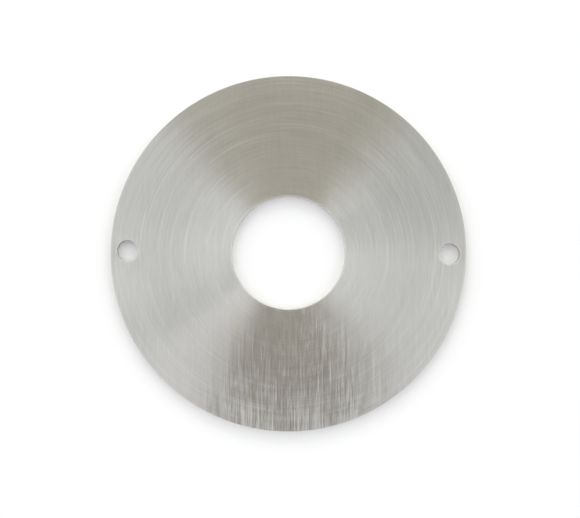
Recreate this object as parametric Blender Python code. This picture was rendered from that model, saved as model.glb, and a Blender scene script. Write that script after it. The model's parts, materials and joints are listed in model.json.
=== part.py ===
"""Round flange plate: one flat stainless steel disc with a central bore and two fixing holes.

The plate lies on its back face in the XY plane. +Z points out of the brushed front face, and
the two fixing holes lie on the X axis. The origin is the centre of the bore at the back face.
All sizes are in metres.
"""

from math import cos, pi, radians, sin

import bmesh
import bpy
from mathutils import Matrix

# Driving dimensions
PLATE_DIAMETER = 0.100
PLATE_THICKNESS = 0.003
BORE_DIAMETER = 0.032
FIXING_HOLE_DIAMETER = 0.006
FIXING_HOLE_SPACING = 0.0905
EDGE_RADIUS = 0.0003  # the deburred edge between each face and the walls

# How finely the curves are faceted
PLATE_SEGMENTS = 240
BORE_SEGMENTS = 120
FIXING_HOLE_SEGMENTS = 48
EDGE_SEGMENTS = 2
SHARP_ANGLE = radians(20)  # above the turn between wall facets, below that of the edge rounding

# Brushed stainless steel
STEEL_COLOUR = (0.60, 0.59, 0.56, 1.0)
STEEL_ROUGHNESS = 0.36
STEEL_ANISOTROPY = 0.8


def clear_scene():
    for obj in list(bpy.data.objects):
        bpy.data.objects.remove(obj)


def brushed_steel():
    material = bpy.data.materials.new("brushed_stainless_steel")
    material.use_nodes = True
    shader = material.node_tree.nodes["Principled BSDF"]
    shader.inputs["Base Color"].default_value = STEEL_COLOUR
    shader.inputs["Metallic"].default_value = 1.0
    shader.inputs["Roughness"].default_value = STEEL_ROUGHNESS
    shader.inputs["Anisotropic"].default_value = STEEL_ANISOTROPY
    return material


def wall_section():
    """The wall between the two faces, from the back edge to the front edge.

    Each point is (distance into the metal from the wall's flat, height), and both ends of the
    wall are quarter rounds of EDGE_RADIUS.
    """
    points = []
    for centre_height, first_angle in (
        (EDGE_RADIUS, -pi / 2),
        (PLATE_THICKNESS - EDGE_RADIUS, 0.0),
    ):
        for step in range(EDGE_SEGMENTS + 1):
            angle = first_angle + step / EDGE_SEGMENTS * pi / 2
            depth = EDGE_RADIUS * (1 - cos(angle))
            points.append((depth, centre_height + EDGE_RADIUS * sin(angle)))
    return points


def add_wall(mesh, diameter, segments, x=0.0, into_metal=1):
    """Adds a round wall about a vertical axis at x, and returns its back and front edge loops.

    into_metal is +1 for a hole, whose metal lies outside its wall, and -1 for the rim.
    """
    loops = []
    for depth, height in wall_section():
        bmesh.ops.create_circle(
            mesh,
            segments=segments,
            radius=diameter / 2 + into_metal * depth,
            matrix=Matrix.Translation((x, 0.0, height)),
        )
        loops.append(list(mesh.edges)[-segments:])
    for lower, upper in zip(loops, loops[1:]):
        bmesh.ops.bridge_loops(mesh, edges=lower + upper)
    return loops[0], loops[-1]


def flange_plate():
    mesh = bmesh.new()
    half_spacing = FIXING_HOLE_SPACING / 2
    walls = [
        add_wall(mesh, PLATE_DIAMETER, PLATE_SEGMENTS, into_metal=-1),
        add_wall(mesh, BORE_DIAMETER, BORE_SEGMENTS),
        add_wall(mesh, FIXING_HOLE_DIAMETER, FIXING_HOLE_SEGMENTS, x=-half_spacing),
        add_wall(mesh, FIXING_HOLE_DIAMETER, FIXING_HOLE_SEGMENTS, x=half_spacing),
    ]
    for loops_of_face in zip(*walls):
        outlines = [edge for loop in loops_of_face for edge in loop]
        bmesh.ops.triangle_fill(mesh, edges=outlines, use_beauty=True)
    bmesh.ops.recalc_face_normals(mesh, faces=mesh.faces)

    data = bpy.data.meshes.new("flange_plate")
    mesh.to_mesh(data)
    mesh.free()
    data.shade_smooth()
    data.set_sharp_from_angle(angle=SHARP_ANGLE)
    data.materials.append(brushed_steel())
    plate = bpy.data.objects.new("flange_plate", data)
    bpy.context.scene.collection.objects.link(plate)
    return plate


clear_scene()
flange_plate()
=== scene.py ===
"""The looks of the flange plate: a round steel plate, brushed on its front, on a white studio floor."""

import json
from math import cos, pi, radians, sin

import bmesh
import bpy
from mathutils import Matrix, Quaternion, Vector


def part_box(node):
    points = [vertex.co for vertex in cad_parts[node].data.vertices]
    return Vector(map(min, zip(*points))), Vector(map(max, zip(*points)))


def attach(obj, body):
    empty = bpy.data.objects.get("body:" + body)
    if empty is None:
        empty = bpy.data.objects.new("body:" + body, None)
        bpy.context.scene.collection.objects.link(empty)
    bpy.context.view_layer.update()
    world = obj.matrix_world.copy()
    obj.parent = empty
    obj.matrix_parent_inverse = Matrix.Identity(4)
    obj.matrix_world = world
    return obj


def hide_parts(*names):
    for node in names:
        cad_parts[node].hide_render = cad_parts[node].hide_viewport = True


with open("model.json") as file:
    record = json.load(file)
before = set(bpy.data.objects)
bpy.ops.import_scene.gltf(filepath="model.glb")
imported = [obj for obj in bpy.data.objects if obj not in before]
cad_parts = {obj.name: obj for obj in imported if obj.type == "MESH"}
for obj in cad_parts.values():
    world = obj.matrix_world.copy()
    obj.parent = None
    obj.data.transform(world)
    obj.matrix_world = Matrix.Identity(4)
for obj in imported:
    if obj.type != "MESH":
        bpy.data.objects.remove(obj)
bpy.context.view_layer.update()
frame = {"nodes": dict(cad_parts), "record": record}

MM = 0.001
MICRON = 0.000001

# The plate, as the CAD frame gives it
NODE = "flange_plate"
BODY = "root"
LOW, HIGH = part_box(NODE)
PLATE_RADIUS = (HIGH.x - LOW.x) / 2
FRONT_Z = HIGH.z
BACK_Z = LOW.z

# How finely the visible plate is made
EDGE_RADIUS = 0.12 * MM
EDGE_SEGMENTS = 4
RIM_SEGMENTS = 512
BORE_SEGMENTS = 256
FIXING_HOLE_SEGMENTS = 128

# The plate's materials, in the order of their slots
FRONT, WALL, BACK = range(3)

# Steel, from its darkest marks to its brightest, on the faces and on the cut walls
DARK_STEEL = (0.44, 0.43, 0.405)
LIGHT_STEEL = (0.66, 0.65, 0.625)
CUT_DARK = (0.52, 0.51, 0.49)
CUT_LIGHT = (0.76, 0.75, 0.72)

# Brushed front. Its tone runs from 0, dark steel, to 1, light steel. RADII and SIDES are the
# stretches of radius, and of Y from the viewer's side to the far one, that a value changes over
FRONT_ROUGHNESS = 0.29
FRONT_ANISOTROPY = 1.0
FRONT_RELIEF = 0.4 * MICRON
# Painted light and shade: the front's plain tone is lighter near the bore and on the viewer's side, and
# darker towards the rim and the far side, standing in for how the reflection falls
PAINTED_SHADING_AT_BORE = 0.66
PAINTED_SHADING_RADII = (18 * MM, 35 * MM)
PAINTED_SHADING_NEAR_VIEWER = 0.34
PAINTED_SHADING_FAR_SIDE = 0.24
PAINTED_SHADING_SIDES = (-10 * MM, 20 * MM)
TONE_OF_BRIGHT_ARCS = 0.20
# Painted highlight: how much lighter in colour the scratches are, on top of the brightening that their
# turned brushing gives
PAINTED_SCRATCH_HIGHLIGHT = 0.25
TONE_OF_WEAR = 0.3
WEAR_ROUGHNESS = 0.06
ARCS_NEAR_VIEWER = 0.70
ARCS_FAR_SIDE = 1.2
ARC_SIDES = (-20 * MM, 30 * MM)

# Straight scratches: the lower the threshold, the more of them
SCRATCH_THRESHOLD_AT_BORE = 0.635
SCRATCH_THRESHOLD_AT_RIM = 0.445
SCRATCH_RADII = (18 * MM, 48 * MM)
SCRATCH_THRESHOLD_ADDED_FAR_SIDE = 0.25
SCRATCH_SIDES = (-12 * MM, 12 * MM)
SCRATCH_SOFTNESS = 0.2

# Cut walls
WALL_ROUGHNESS = 0.55
WALL_RELIEF = 10 * MICRON
CUT_MARK_WIDTH = 0.12 * MM
CUT_MARK_LENGTH = 4 * MM

# Rolled back
BACK_ROUGHNESS = 0.36
BACK_ANISOTROPY = 0.3
BACK_RELIEF = 5 * MICRON
TONE_OF_HANDLING_MARKS = 0.25

# Where noise, which lies mostly between 0.3 and 0.7, is cut off to leave separate marks
BRIGHT_ARC_CUT = (0.64, 0.78)
HANDLING_MARK_CUT = (0.74, 0.80)

# Floor: matt white, a hair below the plate
FLOOR_SIZE = 6.0
FLOOR_GAP = 0.05 * MM
FLOOR_COLOUR = (0.86, 0.86, 0.86)
FLOOR_ROUGHNESS = 0.9
FLOOR_SPECULAR = 0.1

# Softboxes, all at one distance from the plate
SOFTBOX_DISTANCE = 0.75
SOFTBOX_COLOUR = (0.94, 0.915, 1.0)

# Studio walls, as the light they give
BACK_WALL = (1.196, 1.182, 1.025)
SIDE_WALLS = (1.308, 1.354, 1.380)
VIEWER_SIDE = (0.270, 0.206, 0.222)
OVERHEAD = (0.108, 0.098, 0.048)

# Where one turns into the next: for the walls, how far towards +Y; overhead, how far up
BACK_EDGES = (0.70, 0.82)
VIEWER_EDGES = (-0.60, -0.95)
OVERHEAD_EDGES = (sin(radians(74.0)), sin(radians(78.0)))

# Camera: above the front face, leaning a little towards the viewer and turned a little
CAMERA_HEIGHT = 0.256
CAMERA_LEAN = radians(2.1)
CAMERA_AIM = (0.44 * MM, -1.85 * MM)
CAMERA_ROLL = radians(0.55)
CAMERA_CLIP = (0.01, 20.0)
SENSOR_WIDTH_MM = 36.0
PLATE_SHARE_OF_WIDTH = 0.6140


def hole_centre(name):
    """The centre in plan of one of the record's openings."""
    openings = frame["record"]["physics"]["openings"]
    low, high = next(hole["box_m"] for hole in openings if hole["name"] == name)
    return Vector(((low[0] + high[0]) / 2, (low[1] + high[1]) / 2))


def hole_radius(centre):
    """The radius of the CAD plate's hole about that centre."""
    return min((v.co.xy - centre).length for v in frame["nodes"][NODE].data.vertices)


BORE_RADIUS = hole_radius(hole_centre("bore"))
FIXING_HOLE_OFFSET = hole_centre("right_fixing_hole").x
FIXING_HOLE_RADIUS = hole_radius(hole_centre("right_fixing_hole"))


# ---------------------------------------------------------------- shader helpers


class Graph:
    """Adds nodes to one shader tree. An input is a number, a tuple or another node's output."""

    def __init__(self, tree):
        self.tree = tree

    def add(self, kind, inputs=None, **settings):
        made = self.tree.nodes.new(kind)
        for name, value in settings.items():
            setattr(made, name, value)
        for socket, value in (inputs or {}).items():
            self.put(made.inputs[socket], value)
        return made

    def put(self, socket, value):
        if isinstance(value, bpy.types.NodeSocket):
            self.tree.links.new(value, socket)
        elif socket.type == "RGBA":
            socket.default_value = (*value, 1.0)
        else:
            socket.default_value = value

    def math(self, operation, a, b=0.0):
        return self.add("ShaderNodeMath", {0: a, 1: b}, operation=operation).outputs[0]

    def plus(self, a, b):
        return self.math("ADD", a, b)

    def minus(self, a, b):
        return self.math("SUBTRACT", a, b)

    def times(self, a, b):
        return self.math("MULTIPLY", a, b)

    def larger(self, a, b):
        return self.math("MAXIMUM", a, b)

    def vector_math(self, operation, a, b=(0.0, 0.0, 0.0)):
        return self.add("ShaderNodeVectorMath", {0: a, 1: b}, operation=operation).outputs[0]

    def length(self, vector):
        return self.add("ShaderNodeVectorMath", {0: vector}, operation="LENGTH").outputs["Value"]

    def separate(self, vector):
        return self.add("ShaderNodeSeparateXYZ", {0: vector}).outputs

    def combine(self, x=0.0, y=0.0, z=0.0):
        return self.add("ShaderNodeCombineXYZ", {0: x, 1: y, 2: z}).outputs[0]

    def remap(self, value, low, high, to_low=0.0, to_high=1.0):
        """Turns low into to_low and high into to_high, in a straight line between and level beyond."""
        made = self.add("ShaderNodeMapRange", {0: value, 1: low, 2: high, 3: to_low, 4: to_high})
        return made.outputs[0]

    def mix_vector(self, factor, a, b):
        made = self.add("ShaderNodeMix", {0: factor, 4: a, 5: b}, data_type="VECTOR")
        return made.outputs[1]

    def mix_colour(self, factor, a, b):
        made = self.add("ShaderNodeMix", {0: factor, 6: a, 7: b}, data_type="RGBA")
        return made.outputs[2]

    def noise(self, vector, detail=0.0):
        made = self.add("ShaderNodeTexNoise", {"Vector": vector, "Scale": 1.0, "Detail": detail})
        return made.outputs["Fac"]

    def around(self, middle, *weighted):
        """The middle value, plus each noise's distance from its own mean times its weight."""
        total = middle
        for noise, weight in weighted:
            total = self.plus(total, self.times(self.minus(noise, 0.5), weight))
        return total


class PlateGraph(Graph):
    """A shader graph that knows where on the plate it is, in metres."""

    def __init__(self, tree):
        super().__init__(tree)
        self.place = self.add("ShaderNodeTexCoord").outputs["Object"]
        self.x, self.y, _ = self.separate(self.place)
        flat = self.combine(self.x, self.y)
        self.outward = self.vector_math("NORMALIZE", flat)
        self.radius = self.length(flat)

    def arcs(self, width, turn, seed=0.0):
        """Streaks that follow the circle: width across it, and about one turn (in radians) long."""
        bearing = self.vector_math("MULTIPLY", self.outward, (1.0 / turn,) * 3)
        across = self.combine(seed, seed, self.times(self.radius, 1.0 / width))
        return self.noise(self.vector_math("ADD", bearing, across))

    def strokes(self, width, length, lean=0.0, seed=0.0):
        """Straight streaks along Y, leaning by an angle in degrees."""
        turned = self.add(
            "ShaderNodeMapping", {"Vector": self.place, "Rotation": (0.0, 0.0, radians(lean))}
        ).outputs[0]
        stretched = self.vector_math("MULTIPLY", turned, (1.0 / width, 1.0 / length, 0.0))
        return self.noise(self.vector_math("ADD", stretched, (0.0, 0.0, seed)), detail=1.0)

    def clouds(self, size, seed=0.0):
        """Soft patches with no direction."""
        scaled = self.vector_math("MULTIPLY", self.place, (1.0 / size,) * 3)
        return self.noise(self.vector_math("ADD", scaled, (seed, seed, seed)), detail=3.0)

    def near_edges(self, reach):
        """1 on the plate's edges, falling to 0 at this reach from them."""
        rim = self.remap(self.radius, PLATE_RADIUS - reach, PLATE_RADIUS)
        bore = self.remap(self.radius, BORE_RADIUS + reach, BORE_RADIUS)
        sideways = self.minus(self.math("ABSOLUTE", self.x), FIXING_HOLE_OFFSET)
        to_hole = self.length(self.combine(sideways, self.y))
        hole = self.remap(to_hole, FIXING_HOLE_RADIUS + reach, FIXING_HOLE_RADIUS)
        return self.larger(self.larger(rim, bore), hole)

    def edge_wear(self, reach):
        """Patchy wear along the plate's edges, from 0 to 1."""
        return self.times(self.near_edges(reach), self.clouds(2 * MM, seed=4.0))


def new_material(name):
    material = bpy.data.materials.new(name)
    material.use_nodes = True
    material.node_tree.nodes.clear()
    graph = PlateGraph(material.node_tree)
    shader = graph.add("ShaderNodeBsdfPrincipled", {"Metallic": 1.0})
    output = graph.add("ShaderNodeOutputMaterial")
    material.node_tree.links.new(shader.outputs[0], output.inputs[0])
    return material, graph, shader


def relief(graph, shader, height, depth):
    """Bumps the surface by a height of 0 to 1, this many metres deep."""
    bump = graph.add("ShaderNodeBump", {"Height": height, "Distance": depth, "Strength": 1.0})
    graph.put(shader.inputs["Normal"], bump.outputs[0])


# ---------------------------------------------------------------- materials


def scratch_turn(graph):
    """How far, from 0 to 1, the straight scratches turn the brushing: dense on the viewer's side."""
    scattered = graph.around(
        0.5,
        (graph.strokes(width=0.03 * MM, length=6 * MM, lean=0.6, seed=1.3), 1.0),
        (graph.strokes(width=0.06 * MM, length=20 * MM, lean=-0.4, seed=7.3), 0.9),
        (graph.arcs(width=0.30 * MM, turn=0.20, seed=2.3), 0.15),
        (graph.clouds(size=20 * MM, seed=3.0), 0.15),
    )
    by_radius = graph.remap(
        graph.radius, *SCRATCH_RADII, SCRATCH_THRESHOLD_AT_BORE, SCRATCH_THRESHOLD_AT_RIM
    )
    by_side = graph.remap(graph.y, *SCRATCH_SIDES, 0.0, SCRATCH_THRESHOLD_ADDED_FAR_SIDE)
    above = graph.minus(scattered, graph.plus(by_radius, by_side))
    return graph.remap(above, 0.0, SCRATCH_SOFTNESS)


def brushing_direction(graph, turn):
    """The tangent across the brush marks: outward where they are circles, sideways in a scratch."""
    sideways = graph.combine(graph.math("SIGN", graph.x), 0.0, 0.0)
    return graph.vector_math("NORMALIZE", graph.mix_vector(turn, graph.outward, sideways))


def brushed_front():
    """Steel brushed in circles about the bore, with straight scratches across the brushing."""
    material, graph, shader = new_material("brushed_front")
    fine_arcs = graph.arcs(width=0.22 * MM, turn=0.12, seed=1.3)
    long_arcs = graph.arcs(width=0.4 * MM, turn=0.6, seed=5.3)
    broad_arcs = graph.arcs(width=2.5 * MM, turn=1.5, seed=9.3)
    bright_arcs = graph.remap(graph.arcs(width=0.5 * MM, turn=0.8, seed=6.3), *BRIGHT_ARC_CUT)
    grain = graph.strokes(width=0.2 * MM, length=4 * MM, lean=0.5, seed=3.3)
    long_grain = graph.strokes(width=0.8 * MM, length=20 * MM, lean=-0.8, seed=4.3)
    clouds = graph.clouds(size=10 * MM)
    wear = graph.edge_wear(0.6 * MM)
    turn = scratch_turn(graph)

    arcs = graph.around(0.0, (fine_arcs, 0.24), (long_arcs, 0.30), (broad_arcs, 0.16))
    arcs = graph.plus(arcs, graph.times(bright_arcs, TONE_OF_BRIGHT_ARCS))
    arcs = graph.times(arcs, graph.remap(graph.y, *ARC_SIDES, ARCS_NEAR_VIEWER, ARCS_FAR_SIDE))
    # Painted light and shade: the plain tone is lighter near the bore and on the viewer's side, darker
    # towards the rim and the far side
    painted_outer_shading = graph.remap(graph.y, *PAINTED_SHADING_SIDES, PAINTED_SHADING_NEAR_VIEWER, PAINTED_SHADING_FAR_SIDE)
    painted_shading_tone = graph.remap(graph.radius, *PAINTED_SHADING_RADII, PAINTED_SHADING_AT_BORE, painted_outer_shading)
    tone = graph.plus(arcs, graph.around(painted_shading_tone, (grain, 0.26), (long_grain, 0.14), (clouds, 0.15)))
    tone = graph.plus(tone, graph.times(wear, TONE_OF_WEAR))
    # Painted highlight: the scratches are lighter in colour as well as turning the brushing
    tone = graph.plus(tone, graph.times(turn, PAINTED_SCRATCH_HIGHLIGHT))
    rough = graph.around(FRONT_ROUGHNESS, (long_arcs, 0.02), (clouds, 0.02), (long_grain, 0.01))
    height = graph.around(0.5, (fine_arcs, 0.6), (grain, 0.4))

    graph.put(shader.inputs["Base Color"], graph.mix_colour(tone, DARK_STEEL, LIGHT_STEEL))
    graph.put(shader.inputs["Roughness"], graph.plus(rough, graph.times(wear, WEAR_ROUGHNESS)))
    graph.put(shader.inputs["Anisotropic"], FRONT_ANISOTROPY)
    graph.put(shader.inputs["Tangent"], brushing_direction(graph, turn))
    relief(graph, shader, height, FRONT_RELIEF)
    return material


def cut_edge():
    """The walls of the rim, bore and holes, with the upright marks of the cut."""
    material, graph, shader = new_material("cut_edge")
    stretch = (1.0 / CUT_MARK_WIDTH, 1.0 / CUT_MARK_WIDTH, 1.0 / CUT_MARK_LENGTH)
    lines = graph.noise(graph.vector_math("MULTIPLY", graph.place, stretch))
    clouds = graph.clouds(size=1.5 * MM)
    tone = graph.around(0.5, (lines, 0.5), (clouds, 0.4))
    graph.put(shader.inputs["Base Color"], graph.mix_colour(tone, CUT_DARK, CUT_LIGHT))
    graph.put(shader.inputs["Roughness"], graph.around(WALL_ROUGHNESS, (lines, 0.2), (clouds, 0.2)))
    relief(graph, shader, lines, WALL_RELIEF)
    return material


def milled_back():
    """The back as the mill rolled it: a fine dull grain along X, with a few marks from handling."""
    material, graph, shader = new_material("milled_back")
    rolled = graph.strokes(width=0.2 * MM, length=10 * MM, lean=90.0)
    clouds = graph.clouds(size=12 * MM)
    speckle = graph.clouds(size=0.3 * MM, seed=2.0)
    marks = graph.larger(
        graph.strokes(width=0.4 * MM, length=18 * MM, lean=34.0, seed=6.0),
        graph.strokes(width=0.4 * MM, length=12 * MM, lean=-52.0, seed=8.0),
    )
    marks = graph.remap(marks, *HANDLING_MARK_CUT)
    tone = graph.around(0.5, (rolled, 0.2), (clouds, 0.5), (speckle, 0.2))
    tone = graph.plus(tone, graph.times(marks, TONE_OF_HANDLING_MARKS))
    tone = graph.plus(tone, graph.times(graph.edge_wear(1 * MM), TONE_OF_WEAR))
    rough = graph.around(BACK_ROUGHNESS, (rolled, 0.08), (clouds, 0.15), (speckle, 0.10))
    graph.put(shader.inputs["Base Color"], graph.mix_colour(tone, DARK_STEEL, LIGHT_STEEL))
    graph.put(shader.inputs["Roughness"], rough)
    graph.put(shader.inputs["Anisotropic"], BACK_ANISOTROPY)
    graph.put(shader.inputs["Tangent"], (0.0, 1.0, 0.0))
    relief(graph, shader, graph.around(0.5, (rolled, 0.5), (speckle, 0.5)), BACK_RELIEF)
    return material


# ---------------------------------------------------------------- the plate


def wall_section():
    """The wall between the faces, as (distance into the metal, height), with rounded edges."""
    points = []
    for centre_height, first_angle in ((BACK_Z + EDGE_RADIUS, -pi / 2), (FRONT_Z - EDGE_RADIUS, 0.0)):
        for step in range(EDGE_SEGMENTS + 1):
            angle = first_angle + step / EDGE_SEGMENTS * pi / 2
            points.append((EDGE_RADIUS * (1 - cos(angle)), centre_height + EDGE_RADIUS * sin(angle)))
    return points


def add_wall(mesh, centre, radius, segments, into_metal=1):
    """Adds a hole's wall, or the rim's with into_metal=-1, and returns its back and front outlines."""
    loops = []
    for depth, height in wall_section():
        bmesh.ops.create_circle(
            mesh,
            segments=segments,
            radius=radius + into_metal * depth,
            matrix=Matrix.Translation((centre.x, centre.y, height)),
        )
        loops.append(list(mesh.edges)[-segments:])
    for lower, upper in zip(loops, loops[1:]):
        bmesh.ops.bridge_loops(mesh, edges=lower + upper)
    return loops[0], loops[-1]


def add_face(mesh, outlines, material_index):
    """Fills a flat face between the outlines."""
    edges = [edge for outline in outlines for edge in outline]
    made = bmesh.ops.triangle_fill(mesh, edges=edges, use_beauty=True)
    for item in made["geom"]:
        if isinstance(item, bmesh.types.BMFace):
            item.material_index = material_index


def plate_mesh():
    """The plate's mesh: the walls of the rim, bore and fixing holes, then the two faces."""
    mesh = bmesh.new()
    walls = [add_wall(mesh, Vector((0.0, 0.0)), PLATE_RADIUS, RIM_SEGMENTS, into_metal=-1)]
    for name, segments in (
        ("bore", BORE_SEGMENTS),
        ("left_fixing_hole", FIXING_HOLE_SEGMENTS),
        ("right_fixing_hole", FIXING_HOLE_SEGMENTS),
    ):
        centre = hole_centre(name)
        walls.append(add_wall(mesh, centre, hole_radius(centre), segments))
    for face in mesh.faces:
        face.material_index = WALL
    back_outlines, front_outlines = zip(*walls)
    add_face(mesh, back_outlines, BACK)
    add_face(mesh, front_outlines, FRONT)
    bmesh.ops.recalc_face_normals(mesh, faces=mesh.faces)
    data = bpy.data.meshes.new("plate")
    mesh.to_mesh(data)
    mesh.free()
    data.shade_smooth()
    return data


def keep_flat_faces_flat(piece):
    """Lets the large faces set the normals along their outlines, so that they shade flat."""
    weighted = piece.modifiers.new("flat_faces_stay_flat", "WEIGHTED_NORMAL")
    weighted.mode = "FACE_AREA"
    weighted.weight = 100


def plate():
    data = plate_mesh()
    for material in (brushed_front(), cut_edge(), milled_back()):
        data.materials.append(material)
    piece = bpy.data.objects.new("plate", data)
    bpy.context.scene.collection.objects.link(piece)
    keep_flat_faces_flat(piece)
    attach(piece, BODY)
    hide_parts(NODE)


# ---------------------------------------------------------------- the studio


def floor():
    material = bpy.data.materials.new("studio_floor")
    material.use_nodes = True
    shader = material.node_tree.nodes["Principled BSDF"]
    shader.inputs["Base Color"].default_value = (*FLOOR_COLOUR, 1.0)
    shader.inputs["Roughness"].default_value = FLOOR_ROUGHNESS
    shader.inputs["Specular IOR Level"].default_value = FLOOR_SPECULAR
    half = FLOOR_SIZE / 2
    corners = [(-half, -half, 0), (half, -half, 0), (half, half, 0), (-half, half, 0)]
    data = bpy.data.meshes.new("studio_floor")
    data.from_pydata(corners, [], [(0, 1, 2, 3)])
    data.materials.append(material)
    ground = bpy.data.objects.new("studio_floor", data)
    ground.location.z = BACK_Z - FLOOR_GAP
    bpy.context.scene.collection.objects.link(ground)


def softbox(name, azimuth, elevation, width, height, power):
    """A rectangular light aimed at the plate. Azimuth 0 is +X and 90 is +Y, in degrees."""
    data = bpy.data.lights.new(name, "AREA")
    data.shape = "RECTANGLE"
    data.size = width
    data.size_y = height
    data.energy = power
    data.color = SOFTBOX_COLOUR
    lamp = bpy.data.objects.new(name, data)
    a, e = radians(azimuth), radians(elevation)
    away = Vector((cos(a) * cos(e), sin(a) * cos(e), sin(e)))
    lamp.location = away * SOFTBOX_DISTANCE
    lamp.rotation_mode = "QUATERNION"
    lamp.rotation_quaternion = away.to_track_quat("Z", "Y")
    lamp.visible_camera = False
    bpy.context.scene.collection.objects.link(lamp)


def lights():
    """Three softboxes on the left, one on the right and one behind the plate."""
    softbox("left_softbox", azimuth=224, elevation=62, width=0.16, height=0.24, power=0.240)
    softbox("far_left_softbox", azimuth=162, elevation=64, width=0.42, height=0.20, power=0.246)
    softbox("high_left_softbox", azimuth=184, elevation=76, width=0.16, height=0.12, power=0.036)
    softbox("right_softbox", azimuth=337, elevation=58, width=0.46, height=0.24, power=0.300)
    softbox("back_softbox", azimuth=95, elevation=36, width=0.60, height=0.25, power=0.930)


def studio_air():
    """Pale walls all round, warm behind the plate and dim on the viewer's side, and dark overhead."""
    world = bpy.data.worlds.new("studio_air")
    world.use_nodes = True
    graph = Graph(world.node_tree)
    x, y, height = graph.separate(graph.add("ShaderNodeTexCoord").outputs["Generated"])
    bearing = graph.separate(graph.vector_math("NORMALIZE", graph.combine(x, y)))[1]
    far = graph.mix_colour(graph.remap(bearing, *BACK_EDGES), SIDE_WALLS, BACK_WALL)
    around = graph.mix_colour(graph.remap(bearing, *VIEWER_EDGES), far, VIEWER_SIDE)
    colour = graph.mix_colour(graph.remap(height, *OVERHEAD_EDGES), around, OVERHEAD)
    graph.put(world.node_tree.nodes["Background"].inputs["Color"], colour)
    bpy.context.scene.world = world


def camera():
    data = bpy.data.cameras.new("camera")
    data.sensor_width = SENSOR_WIDTH_MM
    data.lens = data.sensor_width * PLATE_SHARE_OF_WIDTH * CAMERA_HEIGHT / (2 * PLATE_RADIUS)
    data.clip_start, data.clip_end = CAMERA_CLIP
    viewer = bpy.data.objects.new("camera", data)
    away = Vector((0.0, -sin(CAMERA_LEAN), cos(CAMERA_LEAN)))
    viewer.location = Vector((*CAMERA_AIM, FRONT_Z)) + away * CAMERA_HEIGHT
    viewer.rotation_mode = "QUATERNION"
    roll = Quaternion((0.0, 0.0, 1.0), CAMERA_ROLL)
    viewer.rotation_quaternion = away.to_track_quat("Z", "Y") @ roll
    bpy.context.scene.collection.objects.link(viewer)
    bpy.context.scene.camera = viewer


plate()
floor()
lights()
studio_air()
camera()
bpy.context.scene.view_settings.view_transform = "Standard"
